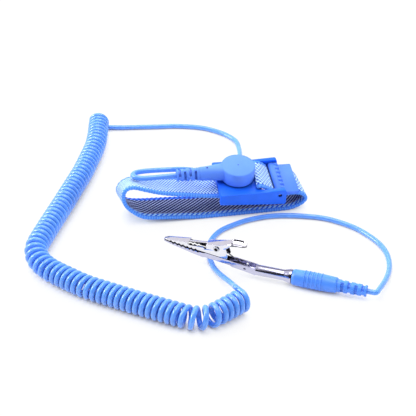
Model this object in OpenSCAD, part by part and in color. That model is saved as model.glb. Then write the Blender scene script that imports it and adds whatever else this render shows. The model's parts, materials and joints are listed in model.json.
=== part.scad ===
// Adjustable wrist strap with a detachable curly ground cord, a banana plug and an alligator clip.
// Millimetres, +Z up. The origin is on the table under the middle of the wristband, with +X
// along the wristband towards the clamp lever and +Y across it.

/* [Elastic band] */
// Width of the elastic webbing
band_w = 19; // [14:0.5:20]
// Thickness of the elastic webbing
band_t = 1.8; // [1.2:0.1:2.2]
// Length of the wristband as it lies on the table
loop_len = 96.6; // [92:0.2:110]
// Height of the wristband's raised end
loop_h = 24.1; // [22:0.1:27]

/* [Buckle] */
// Length of the buckle frame
buckle_len = 34; // [32:0.5:38]
// Width of the buckle frame over its side walls
buckle_w = 26.4; // [25:0.2:30]
// Thickness of each side wall
wall_t = 2.2; // [1.6:0.1:2.6]
// Height of the plateau above the bottom of the walls at the cord end
buckle_h = 6.2; // [6:0.1:8]
// Thickness of the plateau plate
plateau_t = 2.8; // [2:0.1:3]
// Length of the plateau
plateau_len = 21.8; // [21:0.1:23]
// How far the walls rise above the plateau at the lever end
ear_rise = 0.7; // [0:0.1:2]
// How far the walls drop at the lever end
ear_drop = 2.3; // [2:0.1:3]

/* [Clamp lever] */
// Diameter of the lever pin
pin_d = 2; // [1.6:0.1:2.2]
// Radius of the lever's barrel
barrel_r = 1.9; // [1.6:0.05:2]
// Length of the lever's thumb plate beyond the pin
lever_len = 10.6; // [8:0.2:14]
// Thickness of the thumb plate
lever_t = 1.6; // [1.2:0.1:1.8]
// Number of grip bumps on the lever
bump_count = 7; // [5:1:8]

/* [Snap] */
// Distance from the cord end of the buckle to the snap stud
stud_u = 10.8; // [10:0.1:11.5]
// Diameter of the snap stud's head
stud_d = 4; // [3.6:0.1:4]
// Diameter of the snap head
head_d = 17.2; // [15:0.2:19]
// Height of the snap head
head_h = 7.6; // [7:0.1:9]
// Diameter of the boot where it leaves the snap head
boot_d = 6.9; // [6:0.1:7]
// Length of the smooth boot, from the snap head's centre
boot_len = 19.8; // [18:0.2:24]
// Length of the snap head's strain relief
relief_len = 11.5; // [9:0.5:13]

/* [Cord] */
// Diameter of the cord
cord_d = 2.6; // [2.2:0.1:2.6]
// Outer diameter of the curly cord
coil_od = 11.5; // [10.5:0.1:11.5]
// Spacing of the curls on the inner side of the coil
curl_gap = 3.15; // [3.1:0.05:3.6]

/* [Banana plug] */
// Diameter of the plug's grip at its widest
plug_d = 8.2; // [7.4:0.1:8.4]
// Length of the plug's grip
plug_len = 21.5; // [18:0.5:26]
// Length of the plug's strain relief
plug_relief_len = 14; // [11:0.5:17]
// Diameter of the banana pin's core
banana_d = 2.6; // [2.2:0.1:2.8]
// Length of the banana pin in front of the grip
banana_len = 15.5; // [13:0.5:16]

/* [Alligator clip] */
// Outer diameter of the clip's barrel
tube_d = 5.2; // [5:0.1:5.6]
// Sheet metal thickness of the clip
sheet_t = 0.5; // [0.4:0.05:0.6]
// Half width of the upper jaw
jaw_half = 2.4; // [2.3:0.05:2.8]
// Radius of the clip's rivet
rivet_r = 0.95; // [0.8:0.05:1]
// Pitch of the teeth
tooth_pitch = 2.2; // [1.8:0.1:2.6]

/* [Hidden] */
$fn = 48;
eps = 0.01;
fit_gap = 0.2;       // gap between the lever and the walls, and around the webbing
run_gap = 0.05;      // radial running clearance of a turning fit
seat_gap = 0.02;     // radial gap of a fixed pin in its hole

cord_blue = "#5f9bff";
case_blue = "#3d7bff";
web_blue = "#8fb8f5";

// ---- Small helpers ----

function unit(v) = v / norm(v);
function turn_x(a, p) = [p.x, p.y * cos(a) - p.z * sin(a), p.y * sin(a) + p.z * cos(a)];
function turn_y(a, p) = [p.x * cos(a) + p.z * sin(a), p.y, -p.x * sin(a) + p.z * cos(a)];
function arc(c, r, a0, a1, n = 6) =
    [for (i = [0 : n]) c + r * [cos(a0 + (a1 - a0) * i / n), sin(a0 + (a1 - a0) * i / n)]];

// A smooth curve through the points, with so many steps between each pair
function blend(a, b, c, d, t) = 0.5 * (2 * b + (c - a) * t + (2 * a - 5 * b + 4 * c - d) * t * t
    + (3 * b - a - 3 * c + d) * t * t * t);
function smooth(p, steps) = let (m = len(p) - 1) concat(
    [for (i = [0 : m - 1], k = [0 : steps - 1])
        blend(i > 0 ? p[i - 1] : 2 * p[0] - p[1], p[i], p[i + 1],
              i + 2 <= m ? p[i + 2] : 2 * p[m] - p[m - 1], k / steps)],
    [p[m]]);

// Directions along a list of points, from each one's neighbours
function heading(p, i) = unit(p[min(i + 1, len(p) - 1)] - p[max(i - 1, 0)]);

// A tube through the points; refs gives each ring's first corner its direction
module tube(p, refs, r, sides) {
    n = len(p);
    rings = [for (i = [0 : n - 1])
        let (t = i == 0 ? unit(p[1] - p[0]) : i == n - 1 ? unit(p[n - 1] - p[n - 2]) : heading(p, i),
             a = unit(cross(cross(t, refs[i]), t)), b = cross(t, a))
        [for (k = [0 : sides - 1]) p[i] + r * (cos(360 * k / sides) * a + sin(360 * k / sides) * b)]];
    walls = [for (i = [0 : n - 2], k = [0 : sides - 1])
        let (k2 = (k + 1) % sides, a = i * sides + k, b = i * sides + k2,
             c = (i + 1) * sides + k2, d = (i + 1) * sides + k)
        each [[a, c, b], [a, d, c]]];
    caps = [for (k = [1 : sides - 2]) each [[0, k, k + 1],
        [(n - 1) * sides, (n - 1) * sides + k + 1, (n - 1) * sides + k]]];
    polyhedron([for (g = rings) each g], concat(walls, caps), convexity = 10);
}
module plain_cord(p) tube(p, [for (q = p) [0, 0, 1]], cord_d / 2, 8);

// ---- Buckle frame of reference: u along it, v across it, w up from the bottom of its walls ----

buckle_at = [2, 0.3, 11.5];
buckle_lean = 8;
buckle_pitch = 1.5;
function bk(p) = buckle_at + turn_y(buckle_pitch, turn_x(buckle_lean, p));
module in_buckle() translate(buckle_at) rotate([buckle_lean, buckle_pitch, 0]) children();

pin_u = buckle_len - 3.3;
pin_w = 3.5;
wall_in = buckle_w / 2 - wall_t;
plateau_under = buckle_h - plateau_t;
anchor_w = plateau_under - 0.3 - band_t / 2;     // middle of the webbing under the plateau
plate_t = 0.5;
plate_w = anchor_w - band_t / 2 - fit_gap - plate_t;
lane_w = pin_w - barrel_r - 0.3 - band_t / 2;    // middle of the webbing under the lever
shank_r = 1.5;

// ---- Elastic band: pairs of [front, back] points along the middle of the webbing ----

half_band = band_w / 2;
function pair(u, w) = [bk([u, -half_band, w]), bk([u, half_band, w])];
// A free station: shares of the loop's half length and of its height at the front and back edges
function free(kx, kf, kb, back = 0) = let (x = kx * (loop_len - band_t) / 2, z = band_t / 2, h = loop_h - band_t)
    [[x, -half_band, z + kf * h], [x + back, half_band, z + kb * h]];
// The free tail is slack, so it lies a little wider than the stretched loop
function tail(uf, wf, ub, wb, slack = 0.9) = [bk([uf, -half_band - slack, wf]), bk([ub, half_band + slack, wb])];
band_stations = [
    pair(stud_u + 5.4, anchor_w), pair(stud_u, anchor_w), pair(5, anchor_w), pair(0.8, anchor_w),
    free(-0.148, 0.58, 0.561), free(-0.295, 0.65, 0.552), free(-0.443, 0.7, 0.57), free(-0.591, 0.775, 0.614),
    free(-0.738, 0.885, 0.686), free(-0.858, 0.98, 0.704, -0.35), free(-0.937, 0.945, 0.614, -0.9), free(-0.97, 0.785, 0.444, -1.42),
    free(-0.956, 0.555, 0.265, -1), free(-0.893, 0.36, 0.14, -0.3), free(-0.76, 0.155, 0.09), free(-0.549, 0.088, 0.062),
    free(-0.338, 0.045, 0.034), free(-0.169, 0.012, 0.01), free(0.253, 0, 0), free(0.633, 0, 0),
    free(0.812, 0.009, 0.009), free(0.941, 0.094, 0.103, -0.8), free(1, 0.229, 0.274, -1.4), free(0.966, 0.354, 0.435, -1.6),
    pair(buckle_len + 6, lane_w + 0.3), pair(buckle_len + 1, lane_w + 0.1), pair(pin_u, lane_w), pair(pin_u - 2.2, lane_w + 0.75),
    tail(pin_u - 3.1, pin_w - 0.5, pin_u - 3.1, pin_w - 0.5, 0.4), tail(pin_u - 3.5, pin_w + 0.9, pin_u - 3.5, pin_w + 0.7),
    tail(pin_u - 5.1, buckle_h - 1.1, pin_u - 4.6, buckle_h - 1.1), tail(plateau_len + 1.8, buckle_h, plateau_len + 2.6, buckle_h + 0.05),
    tail(plateau_len + 0.1, buckle_h + 1.05, plateau_len + 0.8, buckle_h + 1), tail(plateau_len - 1.5, buckle_h + 1.5, plateau_len - 0.3, buckle_h + 0.95),
    tail(plateau_len - 2.6, buckle_h + 0.95, plateau_len - 1.1, buckle_h + 0.95)];
band_steps = 2;
function grounded(v) = [for (p = v) [p.x, p.y, max(p.z, band_t / 2)]];

module elastic_band() {
    mid_f = grounded(smooth([for (s = band_stations) s[0]], band_steps));
    mid_b = grounded(smooth([for (s = band_stations) s[1]], band_steps));
    n = len(mid_f);
    // Four corners at each step: front inner, front outer, back outer, back inner
    rings = [for (i = [0 : n - 1])
        let (across = unit(mid_b[i] - mid_f[i]),
             face_f = unit(cross(heading(mid_f, i), across)) * band_t / 2,
             face_b = unit(cross(heading(mid_b, i), across)) * band_t / 2)
        [mid_f[i] - face_f, mid_f[i] + face_f, mid_b[i] + face_b, mid_b[i] - face_b]];
    walls = [for (i = [0 : n - 2], k = [0 : 3])
        let (k2 = (k + 1) % 4, a = i * 4 + k, b = i * 4 + k2, c = (i + 1) * 4 + k2, d = (i + 1) * 4 + k)
        each [[a, b, c], [a, c, d]]];
    caps = [[0, 2, 1], [0, 3, 2], [4 * n - 4, 4 * n - 3, 4 * n - 2], [4 * n - 4, 4 * n - 2, 4 * n - 1]];
    color(web_blue) difference() {
        polyhedron([for (g = rings) each g], concat(walls, caps), convexity = 8);
        in_buckle() translate([stud_u, 0, -1]) cylinder(r = shank_r + fit_gap, h = buckle_h);
    }
}

// ---- Buckle ----

module wall_profile() {
    top = buckle_h + ear_rise;
    end = buckle_len;
    polygon(concat([[0, 0.5], [0.5, 0]], arc([end - 1, 1 - ear_drop], 1, -90, 0, 4),
        arc([end - 1.6, top - 1.6], 1.6, 0, 75, 5),
        [[plateau_len + 3.4, buckle_h + 0.2], [plateau_len - 2.6, buckle_h]], arc([0.6, buckle_h - 0.6], 0.6, 90, 180, 3)));
}

module buckle_frame() color(case_blue) in_buckle() difference() {
    union() {
        for (y = [buckle_w / 2, -wall_in]) translate([0, y, 0]) rotate([90, 0, 0])
            linear_extrude(wall_t) wall_profile();
        translate([0, wall_in + eps, 0]) rotate([90, 0, 0]) linear_extrude(2 * (wall_in + eps))
            polygon(concat([[0, plateau_under], [plateau_len, plateau_under]],
                arc([plateau_len - 0.5, buckle_h - 0.5], 0.5, 0, 90, 3), arc([0.6, buckle_h - 0.6], 0.6, 90, 180, 3)));
        // Floor that the lever clamps the webbing against
        translate([pin_u - 2.6, -wall_in - eps, 0.4 - ear_drop]) cube([5, 2 * (wall_in + eps), lane_w - band_t / 2 - fit_gap + ear_drop - 0.4]);
    }
    translate([pin_u, buckle_w, pin_w]) rotate([90, 0, 0]) cylinder(d = pin_d + 2 * seat_gap, h = 2 * buckle_w);
    translate([stud_u, 0, 0]) cylinder(r = shank_r + seat_gap, h = 2 * buckle_h);
}

module lever_pin() color("silver") in_buckle()
    translate([pin_u, buckle_w / 2 - 0.9, pin_w]) rotate([90, 0, 0]) cylinder(d = pin_d, h = buckle_w - 1.8);

module clamp_lever() color(case_blue) in_buckle() {
    half = wall_in - fit_gap;
    bar_u = [pin_u, pin_u + 2.6];
    bar_top = pin_w + barrel_r - 0.1;
    plate_top = pin_w + 0.2;
    difference() {
        union() {
            translate([pin_u, half, pin_w]) rotate([90, 0, 0]) cylinder(r = barrel_r, h = 2 * half);
            translate([0, half, 0]) rotate([90, 0, 0]) linear_extrude(2 * half) polygon(concat(
                [[pin_u, plate_top - lever_t], [pin_u + lever_len - 0.6, plate_top - lever_t]],
                arc([pin_u + lever_len - 0.8, plate_top - 0.8], 0.8, -60, 60, 5),
                [[bar_u[1] + 0.4, plate_top], [bar_u[1], plate_top + 0.6], [bar_u[1], bar_top], [bar_u[0], bar_top]]));
            for (i = [0 : bump_count - 1]) translate([bar_u[0] + 1.2, (i + 0.5 - bump_count / 2) * 2 * half / bump_count, 0]) {
                translate([0, 0, bar_top - 0.15]) rotate([0, 90, 0]) cylinder(r = 0.75, h = bar_u[1] - bar_u[0] - 0.8, $fn = 16);
                translate([bar_u[1] - bar_u[0] - 1.3, 0, plate_top + 0.3]) cylinder(r = 0.85, h = bar_top - plate_top - 0.3, $fn = 16);
            }
        }
        translate([pin_u, buckle_w, pin_w]) rotate([90, 0, 0]) cylinder(r = pin_d / 2 + run_gap, h = 2 * buckle_w);
    }
}

// ---- Snap stud and contact plate ----

stud_flange_t = 0.5;
stud_top = buckle_h + 4;

module snap_stud() color("silver") in_buckle() translate([stud_u, 0, 0]) rotate_extrude() polygon(concat(
    [[0, plate_w - 0.5], [2.3, plate_w - 0.5], [2.4, plate_w], [shank_r, plate_w], [shank_r, buckle_h], [4.5, buckle_h],
     [4.3, buckle_h + stud_flange_t], [stud_d / 2 - 0.3, buckle_h + stud_flange_t], [stud_d / 2 - 0.3, stud_top - 2]],
    arc([stud_d / 2 - 1, stud_top - 1], 1, -30, 90, 6), [[0, stud_top]]));

module contact_plate() color("silver") in_buckle() difference() {
    translate([2.4, -band_w / 2 + 1, plate_w]) cube([plateau_len - 2.6, band_w - 2, plate_t]);
    translate([stud_u, 0, -1]) cylinder(r = shank_r + seat_gap, h = buckle_h);
}

// ---- Snap head: sits over the stud, with its boot towards the cord ----

head_under = buckle_h + 0.9;
head_top = head_under + head_h;
base_t = 1.2;
boot_w = head_under + 3.5;
socket_r = 4.5;
socket_top = head_under + 4.1;
cavity_r = socket_r + 0.7;
cavity_top = head_under + 5.5;
resistor_r = 1.2;
resistor_len = 6.3;
resistor_u = stud_u - boot_len + 2;      // cord end of the resistor
wire_r = 0.3;
relief_u = stud_u - boot_len;            // cord end of the smooth boot
module on_stud() in_buckle() translate([stud_u, 0, 0]) children();
module along_boot(u) in_buckle() translate([u, 0, boot_w]) rotate([0, -90, 0]) children();

module head_shell() color(case_blue) difference() {
    union() {
        on_stud() rotate_extrude() polygon(concat([[0, head_under + base_t], [head_d / 2, head_under + base_t]],
            arc([head_d / 2 - 0.7, head_top - 0.7], 0.7, 0, 90, 5), [[0, head_top]]));
        along_boot(stud_u) cylinder(d = boot_d, h = boot_len);
    }
    on_stud() translate([0, 0, head_under]) cylinder(r = cavity_r, h = cavity_top - head_under);
    along_boot(stud_u) cylinder(r = resistor_r + 0.3, h = boot_len + 1);
}

module head_base() color(case_blue) on_stud() difference() {
    translate([0, 0, head_under]) cylinder(d = head_d - 0.4, h = base_t);
    translate([0, 0, head_under - 1]) cylinder(r = socket_r + 0.1, h = base_t + 2);
    // Relief for the boot, which reaches a little below the shell's lower edge
    rotate([0, -90, 0]) translate([boot_w, 0, 0]) cylinder(d = boot_d + 0.2, h = head_d);
}

relief_d0 = boot_d - 0.3;
relief_d1 = boot_d - 0.8;
// A tapered grip with slots that leave two bridges, turned a quarter from one slot to the next
module slotted_relief(d0, d1, h, slots, core_d) difference() {
    cylinder(d1 = d0, d2 = d1, h = h);
    for (i = [0 : slots - 1]) translate([0, 0, h * (i + 0.55) / (slots + 0.3)]) rotate([0, 0, 90 * (i % 2)]) difference() {
        cylinder(d = d0 + 2, h = h * 0.42 / slots);
        translate([0, 0, -1]) cylinder(d = core_d, h = h);
        translate([-d0, -0.8, -1]) cube([2 * d0, 1.6, h]);
    }
}
module head_strain_relief() color(case_blue) along_boot(relief_u)
    slotted_relief(relief_d0, relief_d1, relief_len, 4, cord_d + 1.4);

groove_w = head_under + 1.2;
bore = stud_d / 2 + run_gap;
module snap_socket() color("silver") on_stud() rotate_extrude() polygon([
    [bore, head_under + 0.1], [socket_r, head_under + 0.1], [socket_r, head_under + base_t + 0.05],
    [socket_r + 0.5, head_under + base_t + 0.05], [socket_r + 0.5, head_under + base_t + 0.5],
    [socket_r, head_under + base_t + 0.5], [socket_r, socket_top], [0, socket_top], [0, socket_top - 0.5],
    [bore, socket_top - 0.5], [bore, groove_w + 0.5], [bore + 1, groove_w + 0.5], [bore + 1, groove_w - 0.5],
    [bore, groove_w - 0.5]]);

module socket_spring() color("silver") on_stud() translate([0, 0, groove_w]) rotate([0, 0, 20])
    rotate_extrude(angle = 320) translate([stud_d / 2 + 0.6, 0]) circle(r = 0.38, $fn = 16);

module safety_resistor() color("tan") along_boot(resistor_u + resistor_len) {
    cylinder(r = resistor_r, h = 1.5);
    cylinder(r = resistor_r - 0.15, h = resistor_len);
    translate([0, 0, resistor_len - 1.5]) cylinder(r = resistor_r, h = 1.5);
}

module resistor_lead_in() color("silver") along_boot(resistor_u) cylinder(r = wire_r, h = resistor_u - relief_u);
lead_lift = socket_top + wire_r + seat_gap;
module resistor_lead_out() color("silver") in_buckle()
    tube([[resistor_u + resistor_len, 0, boot_w], [stud_u - 8.4, 0, boot_w], [stud_u - 7.4, 0, boot_w + 0.4],
          [stud_u - 6.6, 0, lead_lift - 0.1], [stud_u - 6, 0, lead_lift], [stud_u, 0, lead_lift]],
         [for (i = [0 : 5]) [0, 1, 0]], wire_r, 8);

// ---- Curly cord: a left-handed helix on a curved axis that lies on the table ----

coil_r = coil_od / 2 - cord_d / 2;
coil_z = coil_od / 2;
coil_axis = [[-49, 88.6], [-51.5, 73], [-54, 61.5], [-58, 50], [-63, 36.5], [-69, 23],
    [-75, 9.5], [-81, -3.5], [-86.9, -16.5], [-90.6, -25.5], [-91.5, -32], [-90, -38.8],
    [-86.3, -45.2], [-81, -51.2], [-70.5, -61.5], [-59.5, -69.6], [-49, -77.2], [-39, -84],
    [-33.5, -87.6], [-28.6, -90.9], [-25, -92.6], [-21.2, -93.35], [-17.3, -92.9], [-13.6, -91.3], [-9, -88.7], [-5.4, -86.6], [-0.8, -84]];
axis_steps = 10;
axis_pts = smooth(coil_axis, axis_steps);
axis_n = len(axis_pts);
// Headings in degrees, kept continuous: all lie between -150 and 60
axis_dir = [for (i = [0 : axis_n - 1]) let (t = heading(axis_pts, i)) atan2(t.y, t.x)];
function sums(v, i = 0, s = 0) = [for (k = 0, t = 0; k < len(v); t = t + v[k], k = k + 1) t + v[k]];
axis_seg = [for (i = [0 : axis_n - 1]) i == 0 ? 0 : norm(axis_pts[i] - axis_pts[i - 1])];
axis_at = sums(axis_seg);
// Curls per step: the spacing is held on the inner side of a bend, so the curls fan out there
curl_seg = [for (i = [0 : axis_n - 1]) i == 0 ? 0
    : (axis_seg[i] - coil_r * abs(axis_dir[i] - axis_dir[i - 1]) * PI / 180) / curl_gap];
curls_raw = sums(curl_seg);
curl_total = floor(curls_raw[axis_n - 1]) + 0.5;     // starts at the bottom, ends at the top
curl_at = curls_raw * curl_total / curls_raw[axis_n - 1];
axis_x_at = [for (i = [0 : axis_n - 1]) [curl_at[i], axis_pts[i].x]];
axis_y_at = [for (i = [0 : axis_n - 1]) [curl_at[i], axis_pts[i].y]];
axis_dir_at = [for (i = [0 : axis_n - 1]) [curl_at[i], axis_dir[i]]];
curl_rings = 8;
function helix(q) = let (h = lookup(q, axis_dir_at), a = 180 + 360 * q)
    [lookup(q, axis_x_at) - coil_r * sin(a) * sin(h), lookup(q, axis_y_at) + coil_r * sin(a) * cos(h),
     coil_z + coil_r * cos(a)];
function outward(q) = let (h = lookup(q, axis_dir_at), a = 180 + 360 * q) [-sin(a) * sin(h), sin(a) * cos(h), cos(a)];
coil_last = round(curl_total * curl_rings);
coil_pts = [for (i = [0 : coil_last]) helix(i / curl_rings)];
coil_refs = [for (i = [0 : coil_last]) outward(i / curl_rings)];
side_far = [-sin(axis_dir[0]), cos(axis_dir[0]), 0];
side_near = [-sin(axis_dir[axis_n - 1]), cos(axis_dir[axis_n - 1]), 0];
coil_start = coil_pts[0] + cord_d * side_far;
coil_finish = coil_pts[coil_last] + cord_d * side_near;
// Least distance between the middles of two neighbouring curls, less the cord
coil_clear = min([for (i = [0 : coil_last], j = [i + 5 : min(i + 2 * curl_rings, coil_last)]) norm(coil_pts[i] - coil_pts[j])]) - cord_d;

module curly_cord() color(cord_blue) {
    echo(curls = curl_total, least_gap_between_curls = coil_clear);
    tube(concat([coil_start], coil_pts, [coil_finish]), concat([coil_refs[0]], coil_refs, [coil_refs[coil_last]]), cord_d / 2, 6);
}

// ---- Straight leads: hand-laid points, and ends that are fixed by what they meet ----

lie = cord_d / 2;
head_exit = bk([relief_u - relief_len, 0, boot_w]);
head_out = head_exit - bk([relief_u - relief_len + cord_d, 0, boot_w]) + head_exit;
loop_join = [-18, 7.9, 20.4];
loop_dir = unit([8, 0.4, -0.8]);
loop_route = [head_out, [-26, -0.6, 22.2], [-31, -0.4, 22.1], [-35.5, 0.1, 22],
    [-38.6, 1.8, 21.9], [-39.7, 4.4, 21.6], [-38, 7, 21.2], [-34, 8.3, 20.8], [-28, 8.5, 20.6], loop_join - cord_d * loop_dir];
run_route = [loop_join, loop_join + cord_d * loop_dir, [-10, 8.8, 18.8], [-4, 11.4, 15.5], [3, 16, 10.5], [10, 21, 5.8], [16, 27, 2.6],
    [20.5, 34, lie], [23.2, 43, lie], [24.6, 52, lie], [24.2, 61, lie], [18.7, 69.8, lie], [8.4, 77.9, lie],
    [-5.6, 82.4, lie], [-16, 83.6, lie], [-26, 84.9, lie], [-36, 86.2, lie], coil_start + cord_d * side_far, coil_start];
module head_lead_loop() color(cord_blue) plain_cord(concat([head_exit], smooth(loop_route, 2), [loop_join]));
module head_lead_run() color(cord_blue) plain_cord(run_route);

// ---- Plug and clip frames of reference ----

plug_at = [26, -69.1, 4.3];
plug_dir = -28;
plug_axis = [cos(plug_dir), sin(plug_dir), 0];
module along_plug() translate(plug_at) rotate([0, 0, plug_dir]) rotate([0, 90, 0]) children();
plug_exit = plug_at + (0.3 + plug_len + plug_relief_len) * plug_axis;
clip_route = concat([coil_finish, coil_finish + cord_d * side_near], [[-2.9, -75, 7.3], [-4.3, -68.6, 5.3],
    [-5.8, -62.6, 3.5], [-7.1, -57.2, 2.1], [-8.2, -52.2, lie], [-8.8, -47, lie], [-8.9, -42, lie], [-8.2, -37, lie], [-5.5, -29.5, lie], [0.3, -22.8, lie],
    [8.1, -18.7, lie], [15, -16.2, lie], [22.3, -14.9, lie], [28.5, -14.6, lie], [35.5, -15.4, lie], [42.6, -17, lie],
    [52.2, -20.2, lie], [59.6, -24.8, lie], [67.4, -32.2, lie], [72.6, -40.4, lie], [75.6, -47.8, lie], [76.6, -55, lie],
    [75.8, -62.2, lie], [73.6, -69, 1.5], [70.4, -75.2, 2.1], [66.8, -80.8, 3], [64.2, -84.4, 3.7]],
    [plug_exit + 1.8 * cord_d * plug_axis + [0, 0.6, 0], plug_exit + cord_d * plug_axis, plug_exit]);
module clip_lead() color(cord_blue) plain_cord(clip_route);

// ---- Banana plug ----

grip_gap = 0.3;      // between the plug's grip and the clip's mouth
module plug_body() color(cord_blue) along_plug() difference() {
    rotate_extrude() polygon(concat([[0, grip_gap], [plug_d / 2 - 0.7, grip_gap]],
        [for (i = [0 : 10]) let (s = i / 10) [plug_d / 2 - 0.3 + 0.3 * sin(180 * s) - 0.1 * s, grip_gap + 0.8 + (plug_len - 1.3) * s]],
        [[plug_d / 2 - 0.9, grip_gap + plug_len], [0, grip_gap + plug_len]]));
    for (i = [0 : 4]) translate([0, 0, grip_gap + 5 + 2 * i]) rotate_extrude()
        translate([plug_d / 2 - 0.12, 0]) square([1, 0.5]);
    translate([0, 0, -1]) cylinder(d = banana_d + 2 * seat_gap, h = 12);
}
module plug_strain_relief() color(cord_blue) along_plug() translate([0, 0, grip_gap + plug_len])
    slotted_relief(plug_d - 2, plug_d - 2.8, plug_relief_len, 4, cord_d + 1.2);

spring_in = banana_d / 2 + 0.15;
spring_out = tube_d / 2 - sheet_t - 0.12;
module banana_pin() color("gold") along_plug() {
    translate([0, 0, -banana_len]) cylinder(d = banana_d, h = banana_len + 10);
    translate([0, 0, -banana_len - 1.2]) cylinder(r1 = 0.9, r2 = spring_out - 0.15, h = 1.2);
    translate([0, 0, -1.4]) cylinder(r = spring_out - 0.15, h = 1.4 + grip_gap);
}
module banana_spring() color("gold") along_plug() difference() {
    low = -banana_len + 0.3;
    span = banana_len - 2;
    rotate_extrude() polygon(concat(
        [for (i = [0 : 8]) [spring_out - 0.3 + 0.3 * sin(180 * i / 8), low + span * i / 8]],
        [for (i = [8 : -1 : 0]) [spring_in + 0.05 + 0.15 * sin(180 * i / 8), low + span * i / 8]]));
    for (a = [0, 90]) rotate([0, 0, a]) translate([-4, -0.25, low + 1.5]) cube([8, 0.5, span - 3]);
}

// ---- Alligator clip: s runs from the barrel's mouth to the tip, h is the height above the table ----

neck_s = 19;
jaw_turn = -4;                   // the jaws' small turn from the barrel, seen from above
neck_at = [plug_at.x, plug_at.y, 0] - neck_s * plug_axis;
module in_jaw() translate(neck_at) rotate([0, 0, 180 + plug_dir + jaw_turn]) translate([-neck_s, 0, 0]) children();
module slab(half, points) rotate([90, 0, 0]) linear_extrude(2 * half, center = true) polygon(points);
module plan(points) linear_extrude(30) polygon(concat(points, [for (i = [len(points) - 1 : -1 : 0]) [points[i].x, -points[i].y]]));
rivet_at = [37, 12.6];
tip_s = 64.8;
ear_half = jaw_half - sheet_t - 0.15;     // outside of the lower jaw's ears, inside the upper jaw's cheeks

module teeth(first, last, h0, h1, lift) for (i = [0 : floor((last - first) / tooth_pitch)])
    let (s = first + i * tooth_pitch, h = h0 + (h1 - h0) * (s - first) / (last - first))
        slab(5, [[s - 0.75, h], [s + 0.75, h], [s, h + lift]]);

module clip_lower_jaw() color("gainsboro") {
    in_jaw() difference() {
        union() {
            intersection() {
                slab(jaw_half, [[17.2, 2.6], [20, 3.2], [33, 4.8], [41.5, 5.5], [52.8, 7.3], [tip_s - 0.3, 9.1], [tip_s, 9.6],
                    [tip_s - 1, 9.75], [44.8, 8.45], [31.4, 7.25], [20.7, 6.4], [17.2, 6]]);
                plan([[17, jaw_half], [29, jaw_half], [30.4, ear_half], [42.6, ear_half], [44, jaw_half], [50, jaw_half - 0.1],
                    [62, 1.5], [tip_s, 0.9]]);
            }
            // Ears that carry the rivet
            slab(ear_half, concat([[rivet_at[0] - 3.2, 7], [rivet_at[0] + 3.2, 7]], arc(rivet_at, 1.7, 20, 160, 8)));
        }
        // Hollow of the channel, open above
        intersection() {
            slab(jaw_half, [[17, 3.6], [20, 3.8], [33, 5.4], [41.5, 6.1], [52.8, 7.9], [61.5, 9.2], [61.5, 20], [17, 20]]);
            plan([[16.9, jaw_half - sheet_t], [28.6, jaw_half - sheet_t], [30, ear_half - sheet_t], [43, ear_half - sheet_t],
                [44.4, jaw_half - sheet_t], [50, jaw_half - sheet_t - 0.1], [62, 0.9]]);
        }
        translate([rivet_at[0], 10, rivet_at[1]]) rotate([90, 0, 0]) cylinder(r = rivet_r + seat_gap, h = 20);
        teeth(46.5, 61.5, 8.62, 9.64, -0.75);
        // Round hole in each side near the barrel
        translate([22.6, 10, 5]) rotate([90, 0, 0]) cylinder(r = 0.6, h = 20);
    }
    along_plug() difference() {
        union() {
            translate([0, 0, -17.6]) cylinder(d = tube_d, h = 13.7);
            translate([0, 0, -4]) cylinder(d1 = tube_d, d2 = plug_d - 1.2, h = 3);
            translate([0, 0, -1]) cylinder(d = plug_d - 1.2, h = 1);
        }
        translate([0, 0, -30]) cylinder(r = tube_d / 2 - sheet_t, h = 40);
        translate([0, 0, -3.5]) cylinder(r1 = tube_d / 2 - sheet_t, r2 = plug_d / 2 - 0.6 - sheet_t, h = 3.6);
        // Seam of the rolled barrel, along its top
        translate([-tube_d, -0.2, -30]) cube([tube_d, 0.4, 40]);
    }
}

module clip_upper_jaw() color("gainsboro") in_jaw() difference() {
    union() {
        intersection() {
            slab(jaw_half, [[tip_s, 10.2], [tip_s - 0.8, 10.7], [61.5, 11], [52, 12.2], [44, 13.4], [36, 15.2], [30.5, 16.6], [30.2, 15.6],
                [32.4, 13.6], [31.2, 9.5], [31.8, 8.15], [44.8, 9.35], [tip_s - 1, 10.4]]);
            plan([[29, jaw_half], [50, jaw_half], [62, 1.5], [tip_s, 0.9]]);
        }
        // Thumb paddle
        intersection() {
            slab(4, [[33.5, 15.8], [28, 17.1], [25.5, 17.7], [24, 17.6], [23, 16.8], [23.4, 16.5], [24.3, 17.1], [25.6, 17.1], [28, 16.5], [33.5, 15.2]]);
            plan([[22.8, 1.8], [23.4, 2.6], [24.6, 2.9], [27.5, 2.8], [31, jaw_half], [34, jaw_half]]);
        }
    }
    // Hollow of the channel, open below
    intersection() {
        slab(jaw_half, [[62.5, 5], [62.5, 10.4], [61.5, 10.5], [52, 11.7], [44, 12.9], [36, 14.6], [33.2, 15.2], [33.2, 5]]);
        plan([[31.5, jaw_half - sheet_t], [50, jaw_half - sheet_t], [62.6, 0.9]]);
    }
    slab(jaw_half - sheet_t, [[30, 5], [30, 15.5], [33.3, 15.1], [33.3, 5]]);
    translate([rivet_at[0], 10, rivet_at[1]]) rotate([90, 0, 0]) cylinder(r = rivet_r + run_gap, h = 20);
    teeth(47.6, 61.5, 9.45, 10.22, 0.65);
    // Window round each shoulder
    for (side = [-1, 1]) translate([0, side * 3.6, 0])
        slab(3, [[51.8, 11.6], [51.2, 14], [42.4, 15], [42, 11.4], [42.9, 11.1], [43.9, 12.1], [50.6, 11.2]]);
}

module clip_rivet() color("silver") in_jaw() translate([rivet_at[0], 0, rivet_at[1]]) rotate([90, 0, 0]) difference() {
    union() {
        cylinder(r = rivet_r, h = 2 * (jaw_half + 0.1), center = true);
        for (side = [-1, 1]) translate([0, 0, side * (jaw_half + 0.3)]) cylinder(r = 1.4, h = 0.5, center = true);
    }
    cylinder(r = rivet_r - 0.35, h = 20, center = true);
}

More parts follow.
